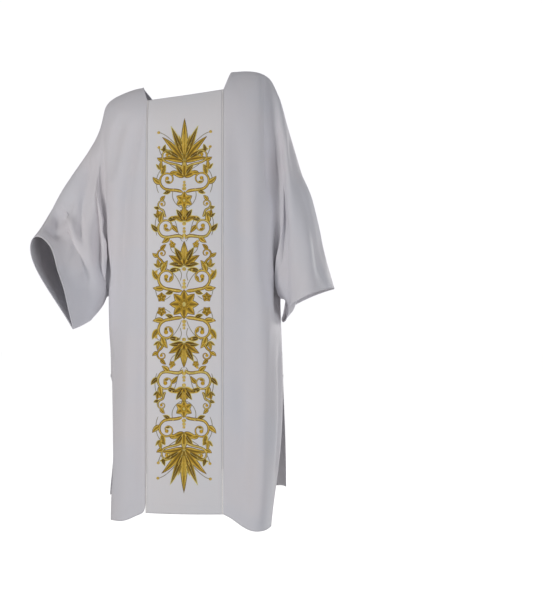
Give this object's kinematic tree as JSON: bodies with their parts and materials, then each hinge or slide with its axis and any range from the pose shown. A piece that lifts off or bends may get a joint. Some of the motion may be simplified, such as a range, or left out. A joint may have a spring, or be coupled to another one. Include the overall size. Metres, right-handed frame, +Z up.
{
  "type": "dalmatic",
  "caption": "Hollow worn dalmatic: open neck, wide half-bent and hanging sleeves, side slits, embroidered centre bands front and back.",
  "frame": {"origin": "middle of the neck opening at shoulder height, where the wearer's shoulders carry it", "axes": "+Z up, -Y the front of the garment, +X the wearer's left"},
  "size_m": [0.8019, 0.3478, 1.228],
  "materials": {
    "white_cloth": "smooth matt white polyester with a faint sheen",
    "band_satin": "white satin weave, slightly brighter and smoother",
    "piping_thread": "fine pale corded piping",
    "gold_thread": "gold satin-stitch embroidery from pale gold to bronze"
  },
  "bodies": {
    "root": {"front_band": "band_satin", "back_band": "band_satin", "front_side_right_with_sleeve": "white_cloth", "front_side_left_with_sleeve": "white_cloth", "back_side_right_with_sleeve": "white_cloth", "back_side_left_with_sleeve": "white_cloth", "front_piping_right": "piping_thread", "front_piping_left": "piping_thread", "back_piping_right": "piping_thread", "back_piping_left": "piping_thread"}
  },
  "joints": []
}
